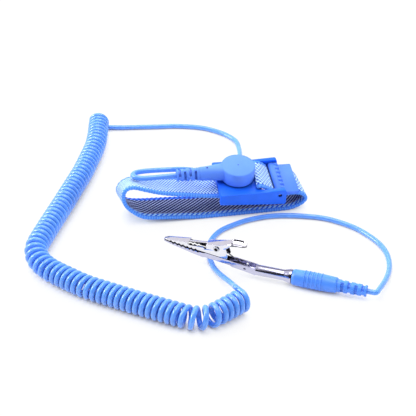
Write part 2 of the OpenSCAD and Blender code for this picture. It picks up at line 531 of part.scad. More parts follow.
module spring_leg(a, b, y, wire) let (d = b - a) translate([a[0], y, a[1]])
    rotate([0, atan2(d[0], d[1]), 0]) cylinder(r = wire, h = norm(d), $fn = 16);

module clip_spring() color("silver") in_jaw() {
    half = ear_half - sheet_t - 0.15;
    wire = 0.3;
    translate([rivet_at[0], half, rivet_at[1]]) rotate([90, 0, 0]) difference() {
        cylinder(r = 1.65, h = 2 * half);
        translate([0, 0, -1]) cylinder(r = rivet_r + 0.1, h = 10);
    }
    spring_leg([rivet_at[0] - 0.3, rivet_at[1] + 1.25], [27, 15.7], half - wire - 0.1, wire);
    spring_leg([rivet_at[0] - 1.1, rivet_at[1] - 0.6], [25, 5.2], -half + wire + 0.1, wire);
}

elastic_band();
buckle_frame();
clamp_lever();
lever_pin();
snap_stud();
contact_plate();
head_shell();
head_base();
head_strain_relief();
snap_socket();
socket_spring();
safety_resistor();
resistor_lead_in();
resistor_lead_out();
head_lead_loop();
head_lead_run();
curly_cord();
clip_lead();
plug_body();
plug_strain_relief();
banana_pin();
banana_spring();
clip_lower_jaw();
clip_upper_jaw();
clip_rivet();
clip_spring();
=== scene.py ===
"""Elastic wrist strap with a snap head, a curly ground cord, a banana plug and an alligator clip.

Works in metres in the part's own frame: the table is z = 0, +X runs along the wristband
towards the clamp lever and +Y across the webbing.
"""
import json
import math

import bpy
import numpy as np
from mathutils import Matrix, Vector

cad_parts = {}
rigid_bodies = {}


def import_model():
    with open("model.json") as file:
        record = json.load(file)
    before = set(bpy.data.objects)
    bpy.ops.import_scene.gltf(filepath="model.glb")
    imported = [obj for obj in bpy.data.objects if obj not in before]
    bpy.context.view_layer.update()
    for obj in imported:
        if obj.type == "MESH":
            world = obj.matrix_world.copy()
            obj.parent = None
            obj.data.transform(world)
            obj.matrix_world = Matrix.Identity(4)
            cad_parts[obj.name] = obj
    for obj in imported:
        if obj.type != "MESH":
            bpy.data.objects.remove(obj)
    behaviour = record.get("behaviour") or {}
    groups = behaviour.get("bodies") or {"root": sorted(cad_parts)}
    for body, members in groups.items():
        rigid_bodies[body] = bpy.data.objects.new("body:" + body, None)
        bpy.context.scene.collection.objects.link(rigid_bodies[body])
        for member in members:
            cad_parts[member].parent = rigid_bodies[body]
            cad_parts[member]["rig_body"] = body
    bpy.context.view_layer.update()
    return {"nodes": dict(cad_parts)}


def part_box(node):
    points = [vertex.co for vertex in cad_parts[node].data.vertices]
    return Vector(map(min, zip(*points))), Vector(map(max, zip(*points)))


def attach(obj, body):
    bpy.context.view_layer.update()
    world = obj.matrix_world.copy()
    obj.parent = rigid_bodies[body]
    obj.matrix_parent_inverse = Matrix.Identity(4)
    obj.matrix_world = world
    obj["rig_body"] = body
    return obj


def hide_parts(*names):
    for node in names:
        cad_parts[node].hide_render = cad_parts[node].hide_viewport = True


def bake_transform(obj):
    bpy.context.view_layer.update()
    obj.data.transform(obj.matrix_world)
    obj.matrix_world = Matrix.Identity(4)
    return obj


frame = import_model()

bl_info = {
    "name": "ESD wrist strap",
    "version": (1, 0, 0),
    "blender": (4, 5, 0),
    "location": "3D View > Sidebar > Wrist strap",
    "description": "Dresses the packed wrist strap with its webbing, cords and finishes",
    "category": "Object",
}

MM = 0.001


def paint(red, green, blue):
    """A linear colour from 0-255 display values."""
    return tuple(((c / 255 + 0.055) / 1.055) ** 2.4 if c > 10 else c / 255 / 12.92 for c in (red, green, blue))


class StrapSizes(bpy.types.PropertyGroup):
    cord_diameter: bpy.props.FloatProperty(
        name="Cord diameter", description="Diameter of the cord", default=2.6 * MM, min=2 * MM, max=3 * MM,
        unit="LENGTH")
    coil_diameter: bpy.props.FloatProperty(
        name="Coil diameter", description="Outer diameter of the curly cord", default=11.5 * MM, min=9 * MM,
        max=13 * MM, unit="LENGTH")
    curl_spacing: bpy.props.FloatProperty(
        name="Curl spacing", description="Spacing of the curls on the inner side of the coil", default=3.15 * MM,
        min=2.8 * MM, max=4 * MM, unit="LENGTH")
    webbing_thickness: bpy.props.FloatProperty(
        name="Webbing thickness", description="Thickness of the elastic webbing", default=1.8 * MM, min=1 * MM,
        max=2.4 * MM, unit="LENGTH")
    scallop_pitch: bpy.props.FloatProperty(
        name="Scallop pitch", description="Length of one loop of thread along the webbing's edges", default=2.35 * MM,
        min=1 * MM, max=4 * MM, unit="LENGTH")
    moulded_edge: bpy.props.FloatProperty(
        name="Moulded edge", description="Rounding of the moulded plastic's edges", default=0.32 * MM, min=0.05 * MM,
        max=0.6 * MM, unit="LENGTH")
    sheet_edge: bpy.props.FloatProperty(
        name="Sheet edge", description="Rounding of the clip's sheet metal edges", default=0.09 * MM, min=0.02 * MM,
        max=0.2 * MM, unit="LENGTH")


class StrapColours(bpy.types.PropertyGroup):
    cord: bpy.props.FloatVectorProperty(
        name="Cord", description="Colour of the cord's jacket and the plug", subtype="COLOR", size=3, min=0, max=1,
        default=paint(92, 156, 252))
    # The snap head and the lever take lighter copies of this colour of their own: painted light on faces lit from
    # above.
    case: bpy.props.FloatVectorProperty(
        name="Case", description="Colour of the buckle, the lever and the snap head", subtype="COLOR", size=3, min=0,
        max=1, default=paint(28, 108, 252))
    thread: bpy.props.FloatVectorProperty(
        name="Thread", description="Colour of the webbing's outer thread", subtype="COLOR", size=3, min=0, max=1,
        default=paint(192, 226, 255))
    conductive: bpy.props.FloatVectorProperty(
        name="Conductive thread", description="Colour of the webbing's dark inner face", subtype="COLOR", size=3, min=0,
        max=1, default=paint(12, 22, 84))
    plating: bpy.props.FloatVectorProperty(
        name="Plating", description="Colour of the clip's nickel plating", subtype="COLOR", size=3, min=0, max=1,
        default=paint(238, 238, 245))


# ---- Materials ----


class Finish:
    """One node material, with short calls for its nodes."""

    def __init__(self, name):
        self.material = bpy.data.materials.new(name)
        self.material.use_nodes = True
        self.tree = self.material.node_tree
        self.tree.nodes.clear()
        self.output = self.tree.nodes.new("ShaderNodeOutputMaterial")

    def node(self, kind, **settings):
        made = self.tree.nodes.new(kind)
        for key, value in settings.items():
            setattr(made, key, value)
        return made

    def put(self, socket, value):
        if isinstance(value, bpy.types.NodeSocket):
            self.tree.links.new(value, socket)
        elif isinstance(value, (tuple, list)) and len(value) == 3 and socket.type == "RGBA":
            socket.default_value = (*value, 1)
        else:
            socket.default_value = value

    def shader(self, **inputs):
        principled = self.node("ShaderNodeBsdfPrincipled")
        for key, value in inputs.items():
            self.put(principled.inputs[key.replace("_", " ")], value)
        self.tree.links.new(principled.outputs[0], self.output.inputs[0])
        return self.material

    def math(self, operation, a, b=0.0, c=None):
        made = self.node("ShaderNodeMath", operation=operation)
        self.put(made.inputs[0], a)
        self.put(made.inputs[1], b)
        if c is not None:
            self.put(made.inputs[2], c)
        return made.outputs[0]

    def place(self):
        """Object coordinates in millimetres."""
        scale = self.node("ShaderNodeVectorMath", operation="SCALE")
        self.put(scale.inputs[0], self.node("ShaderNodeTexCoord").outputs["Object"])
        scale.inputs["Scale"].default_value = 1000
        return scale.outputs[0]

    def noise(self, vector, scale, detail=3.0, roughness=0.55):
        made = self.node("ShaderNodeTexNoise")
        self.put(made.inputs["Vector"], vector)
        made.inputs["Scale"].default_value = scale
        made.inputs["Detail"].default_value = detail
        made.inputs["Roughness"].default_value = roughness
        return made.outputs["Fac"]

    def span(self, value, low, high, to_low=0.0, to_high=1.0):
        made = self.node("ShaderNodeMapRange")
        made.clamp = True
        names = ("Value", "From Min", "From Max", "To Min", "To Max")
        for key, x in zip(names, (value, low, high, to_low, to_high)):
            self.put(made.inputs[key], x)
        return made.outputs[0]

    def mix(self, factor, a, b):
        made = self.node("ShaderNodeMix", data_type="RGBA")
        self.put(made.inputs[0], factor)
        self.put(made.inputs[6], a)
        self.put(made.inputs[7], b)
        return made.outputs[2]

    def recess(self, reach):
        """0 deep in a groove or a hollow, 1 on an open face; reach is in metres. The finishes darken their colour by
        it: painted shade.
        """
        made = self.node("ShaderNodeAmbientOcclusion", samples=8)
        made.inputs["Distance"].default_value = reach
        return made.outputs["AO"]

    def bump(self, height, distance, strength=1.0, under=None):
        made = self.node("ShaderNodeBump")
        made.inputs["Strength"].default_value = strength
        made.inputs["Distance"].default_value = distance
        self.put(made.inputs["Height"], height)
        if under is not None:
            self.put(made.inputs["Normal"], under)
        return made.outputs[0]


def scaled(colour, by):
    return tuple(min(1.0, c * by) for c in colour)


def jacket_finish(name, colour, roughness=0.34, coat=0.9):
    """Soft vinyl: slightly cloudy colour, a fine skin and a low gloss."""
    f = Finish(name)
    at = f.place()
    cloud = f.span(f.noise(at, 0.22, 2), 0.3, 0.7)
    skin = f.noise(at, 5, 3, 0.6)
    tint = f.mix(cloud, scaled(colour, 0.93), scaled(colour, 1.06))
    return f.shader(
        # Grooves, hollows and the gaps between curls are painted darker: painted shade.
        Base_Color=f.mix(f.span(f.recess(0.0022), 0.2, 0.75), scaled(colour, 0.68), tint),
        Roughness=f.span(skin, 0.3, 0.7, roughness - 0.06, roughness + 0.08),
        Specular_IOR_Level=0.55, Coat_Weight=coat, Coat_Roughness=0.14,
        Normal=f.bump(skin, 0.00003, 0.5))


def moulding_finish(name, colour, roughness=0.42):
    """Satin moulded plastic: spark-eroded grain, faint flow marks and handling wear."""
    f = Finish(name)
    at = f.place()
    flow = f.noise(at, 0.12, 2)
    grain = f.noise(at, 9, 4, 0.7)
    wear = f.span(f.noise(at, 0.8, 5, 0.7), 0.62, 0.78)
    tint = f.mix(f.span(flow, 0.3, 0.7), scaled(colour, 0.95), scaled(colour, 1.04))
    tint = f.mix(f.math("MULTIPLY", wear, 0.16), tint, scaled(colour, 1.35))
    return f.shader(
        # Grooves, corners and hollows are painted darker: painted shade.
        Base_Color=f.mix(f.span(f.recess(0.002), 0.2, 0.75), scaled(colour, 0.4), tint),
        Roughness=f.math("ADD", f.span(grain, 0.3, 0.7, roughness - 0.05, roughness + 0.06),
                         f.math("MULTIPLY", wear, 0.08)),
        Specular_IOR_Level=0.28, Coat_Weight=0.06, Coat_Roughness=0.35,
        Normal=f.bump(grain, 0.00004, 0.45))


def plated_finish(name, colour, roughness=0.07, brushed=0.0, along=(1, 1, 1), deep=0.06):
    """Plated or brushed metal with fine rub marks and faint dulling."""
    f = Finish(name)
    at = f.place()
    stretch = f.node("ShaderNodeMapping")
    stretch.inputs["Scale"].default_value = along
    f.put(stretch.inputs["Vector"], at)
    rub = f.noise(stretch.outputs[0], 6, 4, 0.65)
    dull = f.span(f.noise(at, 0.5, 3), 0.45, 0.75)
    clean = f.mix(f.math("MULTIPLY", dull, 0.3), colour, scaled(colour, 0.82))
    return f.shader(
        # Recesses are painted darker, down to deep times the colour: painted shade.
        Base_Color=f.mix(f.span(f.recess(0.0025), 0.25, 0.7), scaled(colour, deep), clean),
        Metallic=1.0,
        Roughness=f.math("ADD", f.span(rub, 0.3, 0.7, roughness, roughness + 0.07), f.math("MULTIPLY", dull, 0.06)),
        Normal=f.bump(rub, 0.00002, 0.15 + brushed))


def knit_waves(f, pitch_along, pitch_across):
    """Sockets of the webbing's UV in millimetres and of two crossing diagonal waves."""
    uv = f.node("ShaderNodeSeparateXYZ")
    f.put(uv.inputs[0], f.node("ShaderNodeUVMap", uv_map="webbing").outputs[0])
    along, across = uv.outputs[0], uv.outputs[1]
    a = f.math("MULTIPLY", along, 2 * math.pi / pitch_along)
    b = f.math("MULTIPLY", across, 2 * math.pi / pitch_across)
    return along, across, f.math("SINE", f.math("ADD", a, b)), f.math("SINE", f.math("SUBTRACT", a, b))


def outer_webbing_finish(colours):
    """Knitted outer face: pale stitches in crossing diagonal rows over a darker ground, and plain blue hems."""
    f = Finish("webbing_outer")
    along, across, one, two = knit_waves(f, 1.62, 2.4)
    gap = f.span(f.math("ADD", f.math("MULTIPLY", one, 0.8), f.math("MULTIPLY", two, 1.2)), -0.3, 0.8)
    fibre = f.noise(f.place(), 14, 3, 0.7)
    height = f.math("ADD", f.math("SUBTRACT", 1.0, gap), f.math("MULTIPLY", fibre, 0.5))
    thread = tuple(colours.thread)
    ground = f.mix(f.span(fibre, 0.35, 0.65), paint(14, 58, 176), paint(36, 96, 222))
    pale = f.mix(f.span(fibre, 0.35, 0.65), scaled(thread, 0.86), scaled(thread, 1.14))
    body = f.mix(gap, pale, ground)
    side = f.math("ABSOLUTE", across)
    dash = f.math("MULTIPLY", f.span(f.math("SINE", f.math("MULTIPLY", along, 2 * math.pi / 1.9)), -0.3, 0.4), 0.85)
    hem = f.mix(f.math("MULTIPLY", dash, f.span(side, 8.35, 8.1)), paint(84, 148, 250), paint(20, 70, 200))
    return f.shader(
        Base_Color=f.mix(f.span(side, 7.5, 7.8), body, hem),
        Roughness=f.span(fibre, 0.3, 0.7, 0.78, 0.95),
        Specular_IOR_Level=0.2, Sheen_Weight=0.12, Sheen_Roughness=0.4,
        Normal=f.bump(height, 0.0002, 0.9))


def inner_webbing_finish(colours):
    """Conductive inner face: dark knit with pale diagonal threads, and blue selvedges with slanted stitches."""
    f = Finish("webbing_inner")
    along, across, one, two = knit_waves(f, 2.3, 2.05)
    fibre = f.noise(f.place(), 14, 3, 0.7)
    thread = f.span(two, -0.1, 0.75)
    dark = tuple(colours.conductive)
    body = f.mix(f.math("MULTIPLY", thread, 0.95), dark, paint(186, 202, 246))
    body = f.mix(f.math("MULTIPLY", f.span(one, 0.3, 1.0), 0.5), body, dark)
    body = f.mix(f.math("MULTIPLY", f.span(fibre, 0.4, 0.7), 0.25), body, scaled(dark, 0.6))
    body = f.mix(f.math("MULTIPLY", f.span(across, -4.4, -6.0), 0.4), body, paint(150, 150, 194))
    slope = f.math("SUBTRACT", along, f.math("MULTIPLY", across, 0.9))
    slant = f.math("SINE", f.math("MULTIPLY", slope, 2 * math.pi / 2.6))
    # The slanted stitches are the thread's pattern. The paler front selvedge with near-white stitches is painted
    # highlight, and the deeper back one is painted shade.
    fresh = f.mix(f.span(slant, -0.5, 0.3), paint(30, 92, 226), paint(170, 220, 255))
    fresh = f.mix(f.span(across, -8.1, -8.4), fresh, paint(84, 148, 250))
    deep = f.mix(f.span(slant, -0.2, 0.6), paint(12, 58, 200), paint(58, 128, 248))
    blue = f.mix(f.span(across, -1, 1), fresh, deep)
    blue = f.mix(f.math("MULTIPLY", f.span(fibre, 0.4, 0.7), 0.2), blue, paint(96, 154, 250))
    height = f.math("ADD", f.math("ADD", thread, f.math("MULTIPLY", fibre, 0.6)), f.span(slant, -0.5, 0.8))
    return f.shader(
        Base_Color=f.mix(f.math("MAXIMUM", f.span(across, -5.9, -6.3), f.span(across, 6.9, 7.3)), body, blue),
        Roughness=f.span(fibre, 0.3, 0.7, 0.72, 0.92),
        Specular_IOR_Level=0.2, Sheen_Weight=0.06, Sheen_Roughness=0.4,
        Normal=f.bump(height, 0.00016, 0.9))


def edge_webbing_finish():
    """Wrapped edge thread of the webbing: paler blue along the front and deep blue along the back, painted light and
    shade on one thread.
    """
    f = Finish("webbing_edge")
    _, across, one, _ = knit_waves(f, 1.3, 3)
    fibre = f.noise(f.place(), 14, 3, 0.7)
    wrap = f.span(one, -0.8, 0.6)
    fresh = f.mix(wrap, paint(78, 142, 250), paint(104, 166, 254))
    deep = f.mix(wrap, paint(12, 60, 204), paint(34, 100, 236))
    return f.shader(
        Base_Color=f.mix(f.span(across, -1, 1), fresh, deep),
        Roughness=f.span(fibre, 0.3, 0.7, 0.8, 0.95),
        Specular_IOR_Level=0.2, Sheen_Weight=0.1, Sheen_Roughness=0.4,
        Normal=f.bump(f.math("ADD", wrap, fibre), 0.0001, 0.6))


def resistor_finish():
    """Lacquered resistor body with generic value bands along the boot."""
    f = Finish("resistor_lacquer")
    x = f.node("ShaderNodeSeparateXYZ")
    f.put(x.inputs[0], f.place())
    speck = f.noise(f.place(), 8, 3)
    colour = f.mix(f.span(speck, 0.3, 0.7), paint(206, 182, 132), paint(222, 200, 152))
    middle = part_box("safety_resistor")[0].x / MM
    for start, band in ((1.0, paint(90, 50, 26)), (2.1, paint(24, 24, 24)), (3.2, paint(34, 110, 52)),
                        (4.9, paint(176, 142, 60))):
        inside = f.math("MULTIPLY", f.math("GREATER_THAN", x.outputs[0], middle + start),
                        f.math("LESS_THAN", x.outputs[0], middle + start + 0.6))
        colour = f.mix(inside, colour, band)
    return f.shader(
        Base_Color=colour, Roughness=f.span(speck, 0.3, 0.7, 0.25, 0.35), Normal=f.bump(speck, 0.00002, 0.3))


def finishes(colours):
    """All the materials of the strap by name."""
    if "cord_jacket" not in bpy.data.materials:
        jacket_finish("cord_jacket", tuple(colours.cord))
        jacket_finish("plug_grip", paint(76, 142, 252), 0.42, 0.15)
        moulding_finish("case_moulding", tuple(colours.case))
        moulding_finish("gate_mark", paint(14, 34, 96), 0.5)
        # The snap head and the lever: lighter copies of the case colour, painted light on faces lit from above.
        moulding_finish("lit_head_moulding", paint(92, 142, 250), 0.44)
        moulding_finish("lit_lever_moulding", paint(80, 130, 248), 0.46)
        plated_finish("nickel_plating", tuple(colours.plating))
        # The lower jaw: a darker, lavender copy of the nickel plating, painted shade.
        plated_finish("shaded_lower_plating", paint(206, 206, 230), 0.1, deep=0.5)
        # The dark plating of the clip's hollows, window and underside: painted shade.
        plated_finish("shaded_plating", paint(58, 56, 66), 0.3)
        plated_finish("turned_nickel", scaled(tuple(colours.plating), 0.9), 0.14)
        plated_finish("brushed_steel", paint(198, 198, 204), 0.26, 0.25, (0.3, 3, 3))
        plated_finish("spring_wire", paint(176, 178, 186), 0.22, 0.1)
        plated_finish("gold_plating", paint(236, 196, 104), 0.18)
        outer_webbing_finish(colours)
        inner_webbing_finish(colours)
        edge_webbing_finish()
        resistor_finish()
    return bpy.data.materials


def finish_with(piece, *names):
    """Gives a piece its materials in place of any that it has."""
    piece.data.materials.clear()
    for name in names:
        piece.data.materials.append(finishes(bpy.context.scene.strap_colours)[name])


# ---- Shapes ----


def turn_x(angle, p):
    c, s = math.cos(math.radians(angle)), math.sin(math.radians(angle))
    return (p[0], p[1] * c - p[2] * s, p[1] * s + p[2] * c)


def turn_y(angle, p):
    c, s = math.cos(math.radians(angle)), math.sin(math.radians(angle))
    return (p[0] * c + p[2] * s, p[1], -p[0] * s + p[2] * c)


def in_buckle(p):
    """A point along, across and up from the buckle's bottom, in millimetres, put in the frame."""
    q = turn_y(1.5, turn_x(8, p))
    return np.array((2 + q[0], 0.3 + q[1], 11.5 + q[2]))


def unit(v):
    v = np.asarray(v, float)
    return v / np.linalg.norm(v)


def smooth(points, steps):
    """A smooth curve through the points, with so many steps between each pair."""
    p = [np.asarray(q, float) for q in points]
    p = [2 * p[0] - p[1]] + p + [2 * p[-1] - p[-2]]
    out = []
    for i in range(1, len(p) - 2):
        a, b, c, d = p[i - 1:i + 3]
        for k in range(steps):
            t = k / steps
            out.append(0.5 * (2 * b + (c - a) * t + (2 * a - 5 * b + 4 * c - d) * t * t
                              + (3 * b - a - 3 * c + d) * t ** 3))
    out.append(p[-2])
    return np.array(out)


def lay_skin(name, rings, along, around):
    """Lays a grid on closed rings of points, whose last point is their first, and closes its seam and ends."""
    n, m = rings.shape[:2]
    bpy.ops.object.select_all(action="DESELECT")
    bpy.ops.mesh.primitive_grid_add(x_subdivisions=m - 1, y_subdivisions=n - 1, size=1, calc_uvs=True)
    piece = bpy.context.object
    piece.name = piece.data.name = name
    mesh = piece.data
    if len(mesh.vertices) != n * m:
        raise RuntimeError(f"{name}: the grid has {len(mesh.vertices)} points, not {n * m}")
    mesh.vertices.foreach_set("co", (rings.reshape(-1) * MM).astype(np.float32))
    uv = mesh.uv_layers[0]
    uv.name = "webbing" if name.startswith("webbing") else "along"
    corner = np.empty(len(mesh.loops), int)
    mesh.loops.foreach_get("vertex_index", corner)
    uv.data.foreach_set("uv", np.stack([along[corner // m], around[corner % m]], 1).astype(np.float32).reshape(-1))
    mesh.update()
    bpy.ops.object.mode_set(mode="EDIT")
    bpy.ops.mesh.select_all(action="SELECT")
    bpy.ops.mesh.remove_doubles(threshold=1e-7)
    bpy.ops.mesh.select_all(action="SELECT")
    bpy.ops.mesh.fill_holes(sides=0)
    bpy.ops.mesh.select_all(action="SELECT")
    bpy.ops.mesh.normals_make_consistent(inside=False)
    bpy.ops.object.mode_set(mode="OBJECT")
    bpy.ops.object.shade_smooth_by_angle(angle=math.radians(50))
    return piece


def tube(name, path, radius, sides):
    """A round tube of that radius in millimetres along the path."""
    path = np.asarray(path, float)
    heading = np.empty_like(path)
    heading[1:-1] = path[2:] - path[:-2]
    heading[0], heading[-1] = path[1] - path[0], path[-1] - path[-2]
    heading /= np.linalg.norm(heading, axis=1)[:, None]
    side = np.empty_like(path)
    start = np.cross(heading[0], (0.1, 0.2, 1))
    side[0] = start / np.linalg.norm(start)
    for i in range(1, len(path)):
        v = side[i - 1] - heading[i] * (side[i - 1] @ heading[i])
        side[i] = v / np.linalg.norm(v)
    up = np.cross(heading, side)
    angle = np.linspace(0, 2 * math.pi, sides + 1)
    cosine, sine = np.cos(angle)[None, :, None], np.sin(angle)[None, :, None]
    rings = path[:, None] + radius * (cosine * side[:, None] + sine * up[:, None])
    rings[:, -1] = rings[:, 0]
    along = np.concatenate([[0], np.cumsum(np.linalg.norm(np.diff(path, axis=0), axis=1))])
    return lay_skin(name, rings, along, angle * radius)


def loft(name, sections):
    """A closed skin over sections of equal length, each a list of points in millimetres."""
    rings = np.array([list(section) + [section[0]] for section in sections], float)
    return lay_skin(name, rings, np.arange(len(rings), dtype=float), np.arange(rings.shape[1], dtype=float))


def join_into(piece, *others):
    """Makes the other pieces part of the piece."""
    bpy.ops.object.select_all(action="DESELECT")
    for each in (*others, piece):
        each.select_set(True)
    bpy.context.view_layer.objects.active = piece
    bpy.ops.object.join()
    return piece


# The coil's axis on the table, from the far end to the near one
COIL_AXIS = [(-49, 88.6), (-51.5, 73), (-54, 61.5), (-58, 50), (-63, 36.5), (-69, 23),
             (-75, 9.5), (-81, -3.5), (-86.9, -16.5), (-90.6, -25.5), (-91.5, -32), (-90, -38.8),
             (-86.3, -45.2), (-81, -51.2), (-70.5, -61.5), (-59.5, -69.6), (-49, -77.2), (-39, -84),
             (-33.5, -87.6), (-28.6, -90.9), (-25, -92.6), (-21.2, -93.35), (-17.3, -92.9), (-13.6, -91.3),
             (-9, -88.7), (-5.4, -86.6), (-0.8, -84)]


def coil_path():
    """The curly cord's middle line, and the directions across its two ends."""
    sizes = bpy.context.scene.strap_sizes
    cord, outer = sizes.cord_diameter / MM, sizes.coil_diameter / MM
    radius = outer / 2 - cord / 2
    axis = smooth(COIL_AXIS, 10)
    turn = np.empty(len(axis))
    turn[1:-1] = np.arctan2(*(axis[2:] - axis[:-2]).T[::-1])
    turn[0], turn[-1] = math.atan2(*(axis[1] - axis[0])[::-1]), math.atan2(*(axis[-1] - axis[-2])[::-1])
    step = np.linalg.norm(np.diff(axis, axis=0), axis=1)
    curls = np.concatenate([[0], np.cumsum((step - radius * np.abs(np.diff(turn))) / (sizes.curl_spacing / MM))])
    total = math.floor(curls[-1]) + 0.5
    curls *= total / curls[-1]
    at = np.linspace(0, total, round(total * 24) + 1)
    x, y, h = np.interp(at, curls, axis[:, 0]), np.interp(at, curls, axis[:, 1]), np.interp(at, curls, turn)
    a = math.pi + 2 * math.pi * at
    helix = np.stack([x - radius * np.sin(a) * np.sin(h), y + radius * np.sin(a) * np.cos(h),
                      outer / 2 + radius * np.cos(a)], 1)
    side_far = np.array((-math.sin(turn[0]), math.cos(turn[0]), 0))
    side_near = np.array((-math.sin(turn[-1]), math.cos(turn[-1]), 0))
    start, finish = helix[0] + cord * side_far, helix[-1] + cord * side_near
    return np.concatenate([[start], helix, [finish]]), side_far, side_near


# The mouth of the clip's barrel on the plug's middle line, and the plug's turn on the table
PLUG_AT = np.array((26, -69.1, 4.3))
PLUG_TURN = math.radians(-28)
PLUG_AXIS = np.array((math.cos(PLUG_TURN), math.sin(PLUG_TURN), 0))


def lead_paths():
    """The middle lines of the head lead's loop, its run to the coil, and the clip lead."""
    cord = bpy.context.scene.strap_sizes.cord_diameter / MM
    lie = cord / 2
    coil, side_far, side_near = coil_path()
    head_exit = in_buckle((-20.5, 0, 10.6))
    head_out = 2 * head_exit - in_buckle((-20.5 + cord, 0, 10.6))
    join, onward = np.array((-18, 7.9, 20.4)), unit((8, 0.4, -0.8))
    loop = smooth([head_exit, head_out, (-26, -0.6, 22.2), (-31, -0.4, 22.1), (-35.5, 0.1, 22), (-38.6, 1.8, 21.9),
                   (-39.7, 4.4, 21.6), (-38, 7, 21.2), (-34, 8.3, 20.8), (-28, 8.5, 20.6),
                   join - cord * onward, join], 6)
    run = smooth([join, join + cord * onward, (-10, 8.8, 18.8), (-4, 11.4, 15.5), (3, 16, 10.5), (10, 21, 5.8),
                  (16, 27, 2.6), (20.5, 34, lie), (23.2, 43, lie), (24.6, 52, lie), (24.2, 61, lie), (18.7, 69.8, lie),
                  (8.4, 77.9, lie), (-5.6, 82.4, lie), (-16, 83.6, lie), (-26, 84.9, lie), (-36, 86.2, lie),
                  coil[0] + cord * side_far, coil[0]], 8)
    axis = PLUG_AXIS
    plug_exit = PLUG_AT + 35.8 * axis
    clip = smooth([coil[-1], coil[-1] + cord * side_near, (-2.9, -75, 7.3), (-4.3, -68.6, 5.3), (-5.8, -62.6, 3.5),
                   (-7.1, -57.2, 2.1), (-8.2, -52.2, lie), (-8.8, -47, lie), (-8.9, -42, lie), (-8.2, -37, lie),
                   (-5.5, -29.5, lie), (0.3, -22.8, lie), (8.1, -18.7, lie), (15, -16.2, lie), (22.3, -14.9, lie),
                   (28.5, -14.6, lie), (35.5, -15.4, lie), (42.6, -17, lie), (52.2, -20.2, lie), (59.6, -24.8, lie),
                   (67.4, -32.2, lie), (72.6, -40.4, lie), (75.6, -47.8, lie), (76.6, -55, lie), (75.8, -62.2, lie),
                   (73.6, -69, 1.5), (70.4, -75.2, 2.1), (66.8, -80.8, 3), (64.2, -84.4, 3.7),
                   plug_exit + 1.8 * cord * axis + (0, 0.6, 0), plug_exit + cord * axis, plug_exit], 8)
    return loop, run, clip


# How far the clip's neck is along it from its barrel's mouth, where the neck is, and the clip's turn on the table
NECK = 19
NECK_AT = np.array((26, -69.1, 0)) - NECK * PLUG_AXIS
JAW_TURN = math.radians(148)


def in_jaw(s, y, h):
    """A point along the clip, across it and over the table, in millimetres, put in the frame."""
    c, k = math.cos(JAW_TURN), math.sin(JAW_TURN)
    return NECK_AT + ((s - NECK) * c - y * k, (s - NECK) * k + y * c, h)


def from_jaw(p):
    """The clip's own measures of a point in metres, the other way round from in_jaw."""
    c, k = math.cos(JAW_TURN), math.sin(JAW_TURN)
    dx, dy = p[0] / MM - NECK_AT[0], p[1] / MM - NECK_AT[1]
    return NECK + dx * c + dy * k, dy * c - dx * k, p[2] / MM


def shade_faces(piece, chosen):
    """Paints shade into the clip's inside: gives the dark plating to the faces chosen by place, inward turn and upward
    turn.
    """
    piece.data.materials.append(finishes(bpy.context.scene.strap_colours)["shaded_plating"])
    across = in_jaw(0, 1, 0) - in_jaw(0, 0, 0)
    for face in piece.data.polygons:
        s, y, h = from_jaw(face.center)
        inward = -math.copysign(1, y) * face.normal.dot(Vector(across))
        if chosen(s, abs(y), h, inward, face.normal.z):
            face.material_index = len(piece.data.materials) - 1


# Half the webbing's width, the width of its rounded hem and the step its skin is laid in, in millimetres
HALF_BAND = 9.5
HEM = 0.55
BAND_STEP = 0.42


def pair(u, w):
    return in_buckle((u, -HALF_BAND, w)), in_buckle((u, HALF_BAND, w))


def tail(front_u, front_w, back_u, back_w, slack=0.9):
    """The free tail is slack, so it lies a little wider than the stretched loop."""
    return in_buckle((front_u, -HALF_BAND - slack, front_w)), in_buckle((back_u, HALF_BAND + slack, back_w))


def free(x, front, back, shift=0.0):
    """Shares of the loop's half length and of its height at the front and back edges."""
    return (47.4 * x, -HALF_BAND, 0.9 + 22.3 * front), (47.4 * x + shift, HALF_BAND, 0.9 + 22.3 * back)


def band_edges():
    """The webbing's front and back edges along its middle: under the snap, round the loop, through the clamp."""
    anchor, lane = 2.2, 0.4
    stations = [
        pair(16.2, anchor), pair(10.8, anchor), pair(5, anchor), pair(0.8, anchor),
        free(-0.148, 0.58, 0.561), free(-0.295, 0.65, 0.552), free(-0.443, 0.7, 0.57), free(-0.591, 0.775, 0.614),
        free(-0.738, 0.885, 0.686), free(-0.858, 0.98, 0.704, -0.35), free(-0.937, 0.945, 0.614, -0.9),
        free(-0.97, 0.785, 0.444, -1.42), free(-0.956, 0.555, 0.265, -1), free(-0.893, 0.36, 0.14, -0.3),
        free(-0.76, 0.155, 0.09), free(-0.549, 0.088, 0.062), free(-0.338, 0.045, 0.034), free(-0.169, 0.012, 0.01),
        free(0.253, 0, 0), free(0.633, 0, 0), free(0.812, 0.009, 0.009), free(0.941, 0.094, 0.103, -0.8),
        free(1, 0.229, 0.274, -1.4), free(0.966, 0.354, 0.435, -1.6),
        pair(40, lane + 0.3), pair(35, lane + 0.1), pair(30.7, lane), pair(28.5, lane + 0.75),
        tail(27.6, 3, 27.6, 3, 0.4), tail(27.2, 4.4, 27.2, 4.2), tail(25.6, 5.1, 26.1, 5.1),
        tail(23.6, 6.2, 24.4, 6.25), tail(21.9, 7.25, 22.6, 7.2), tail(20.3, 7.7, 21.5, 7.15), tail(19.2, 7.15, 20.7, 7.15)]
    front, back = smooth([s[0] for s in stations], 16), smooth([s[1] for s in stations], 16)
    for edge in (front, back):
        edge[:, 2] = np.maximum(edge[:, 2], 0.9)
    return front, back


def even(front, back, step):
    """Both edges again at even steps along the band's middle."""
    middle = (front + back) / 2
    at = np.concatenate([[0], np.cumsum(np.linalg.norm(np.diff(middle, axis=0), axis=1))])
    fresh = np.linspace(0, at[-1], round(at[-1] / step) + 1)
    return (np.stack([np.interp(fresh, at, front[:, k]) for k in range(3)], 1),
            np.stack([np.interp(fresh, at, back[:, k]) for k in range(3)], 1), fresh)


